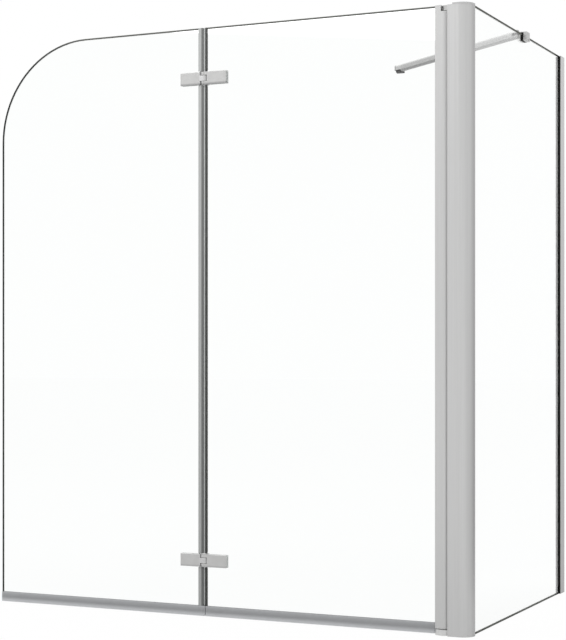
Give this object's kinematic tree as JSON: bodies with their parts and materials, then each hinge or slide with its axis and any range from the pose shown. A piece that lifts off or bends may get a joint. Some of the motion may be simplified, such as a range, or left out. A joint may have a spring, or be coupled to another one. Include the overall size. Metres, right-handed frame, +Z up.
{
  "type": "shower screen",
  "caption": "L-shaped bath screen: fixed side glass with a wall channel and a corner post, a pivoting glass panel, a hinged swing leaf and a diagonal support bar.",
  "frame": {"origin": "on the wall at the foot of the side glass, in the glass's middle plane, level with the tub rim", "axes": "+Z up, +Y into the wall, +X out of the enclosure; the front glasses run towards -X"},
  "size_m": [1.203, 0.749, 1.3582],
  "materials": {
    "satin_aluminium": "brushed satin anodised",
    "satin_castings": "satin plated zinc casting",
    "clear_glass": "clear toughened, polished edges",
    "black_rubber": "matt",
    "grey_pvc": "satin translucent grey",
    "dark_pvc": "satin",
    "white_nylon": "plain",
    "grey_plastic": "satin moulded",
    "steel_fasteners": "plain stainless"
  },
  "bodies": {
    "fixed_frame": {"wall_channel": "satin_aluminium", "wall_gasket": "black_rubber", "wall_channel_cap": "grey_plastic", "side_glass": "clear_glass", "corner_post": "satin_aluminium", "post_gasket": "black_rubber", "post_top_cap": "grey_plastic", "top_pivot_arm": "satin_castings", "bottom_pivot_arm": "satin_castings", "pivot_arm_screws": "steel_fasteners", "top_pivot_pin": "steel_fasteners", "bottom_pivot_pin": "steel_fasteners", "clamp_body": "satin_castings", "clamp_liner": "black_rubber", "clamp_grub_screw": "steel_fasteners", "bar_clamp_pin": "steel_fasteners"},
    "middle_panel": {"pivot_profile": "satin_aluminium", "pivot_profile_gasket": "black_rubber", "top_pivot_bush": "white_nylon", "bottom_pivot_bush": "white_nylon", "middle_glass": "clear_glass", "middle_edge_seal": "dark_pvc", "middle_bottom_seal": "grey_pvc", "hinge_upper_middle_body": "satin_castings", "hinge_upper_middle_clamp_plate": "satin_castings", "hinge_upper_middle_pads": "grey_pvc", "hinge_upper_middle_screws": "steel_fasteners", "hinge_upper_washers": "white_nylon", "hinge_upper_pin": "steel_fasteners", "hinge_lower_middle_body": "satin_castings", "hinge_lower_middle_clamp_plate": "satin_castings", "hinge_lower_middle_pads": "grey_pvc", "hinge_lower_middle_screws": "steel_fasteners", "hinge_lower_washers": "white_nylon", "hinge_lower_pin": "steel_fasteners"},
    "swing_leaf": {"leaf_glass": "clear_glass", "leaf_edge_seal": "grey_pvc", "leaf_bottom_seal": "grey_pvc", "hinge_upper_leaf_body": "satin_castings", "hinge_upper_leaf_clamp_plate": "satin_castings", "hinge_upper_leaf_pads": "grey_pvc", "hinge_upper_leaf_screws": "steel_fasteners", "hinge_lower_leaf_body": "satin_castings", "hinge_lower_leaf_clamp_plate": "satin_castings", "hinge_lower_leaf_pads": "grey_pvc", "hinge_lower_leaf_screws": "steel_fasteners"},
    "support_bar": {"support_bar_tube": "satin_aluminium", "bar_clamp_fork": "satin_castings", "bar_wall_fork": "satin_castings", "bar_wall_pin": "steel_fasteners"},
    "wall_bracket": {"wall_bracket": "dark_pvc"}
  },
  "joints": [
    {"name": "middle_panel_pivot", "type": "hinge", "parent": "fixed_frame", "child": "middle_panel", "pos_m": [-0.0565, -0.724, 0], "axis": [0, 0, 1], "range_deg": [0, 90]},
    {"name": "leaf_hinge", "type": "hinge", "parent": "middle_panel", "child": "swing_leaf", "pos_m": [-0.6375, -0.724, 0], "axis": [0, 0, 1], "range_deg": [-90, 90]},
    {"name": "bar_swivel", "type": "hinge", "parent": "fixed_frame", "child": "support_bar", "pos_m": [-0.01945, -0.338, 1.3479], "axis": [0, 0, 1], "range_deg": [0, 20]},
    {"name": "bracket_swivel", "type": "hinge", "parent": "support_bar", "child": "wall_bracket", "pos_m": [-0.432, -0.01895, 1.3479], "axis": [0, 0, 1], "range_deg": [-20, 0]}
  ],
  "couplings": [
    {"joint": "bracket_swivel", "follows": "bar_swivel", "ratio": -1}
  ]
}
